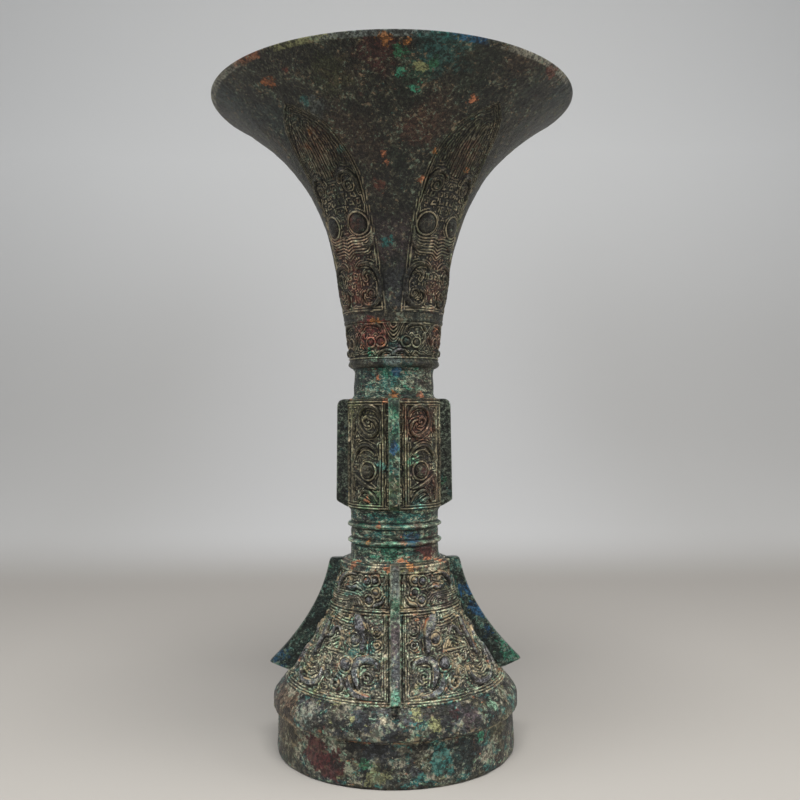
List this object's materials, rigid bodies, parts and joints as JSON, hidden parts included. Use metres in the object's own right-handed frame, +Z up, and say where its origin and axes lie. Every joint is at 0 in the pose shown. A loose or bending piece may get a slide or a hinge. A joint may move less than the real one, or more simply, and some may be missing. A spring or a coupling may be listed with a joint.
{
  "type": "gu wine beaker",
  "caption": "Tall bronze gu beaker with a trumpet mouth, slim flanged waist and flared foot, cast with masks, leaf blades and square-spiral ground under green patina.",
  "frame": {"origin": "centre of the foot's resting circle, on the surface that it stands on", "axes": "+Z up through the mouth; -Y is the front, where one waist flange and one foot flange face the viewer"},
  "size_m": [0.18, 0.18, 0.32],
  "materials": {
    "trumpet_bronze": "dark brown-black bronze, satin, with sparse green streaks and copper specks",
    "neck_bronze": "brown bronze with red cuprite patches and bright relief edges",
    "stem_bronze": "dark bronze under mottled green and blue-green patina",
    "waist_bronze": "brown-black bronze with grey-tan relief and green in the grooves",
    "waist_flange_bronze": "matte green patina with a blue patch",
    "foot_bronze": "brown bronze with pale green, blue-green and red mottling",
    "foot_flange_bronze": "matte blue-green patina over dark bronze"
  },
  "bodies": {
    "root": {"foot_ring": "foot_bronze", "foot_bell": "foot_bronze", "stem_collar": "stem_bronze", "waist_drum": "waist_bronze", "cup_floor": "waist_bronze", "neck_collar": "stem_bronze", "neck_band": "neck_bronze", "mouth_trumpet": "trumpet_bronze", "waist_flange_right": "waist_flange_bronze", "waist_flange_back": "waist_flange_bronze", "waist_flange_left": "waist_flange_bronze", "waist_flange_front": "waist_flange_bronze", "foot_flange_right": "foot_flange_bronze", "foot_flange_back": "foot_flange_bronze", "foot_flange_left": "foot_flange_bronze", "foot_flange_front": "foot_flange_bronze"}
  },
  "joints": []
}
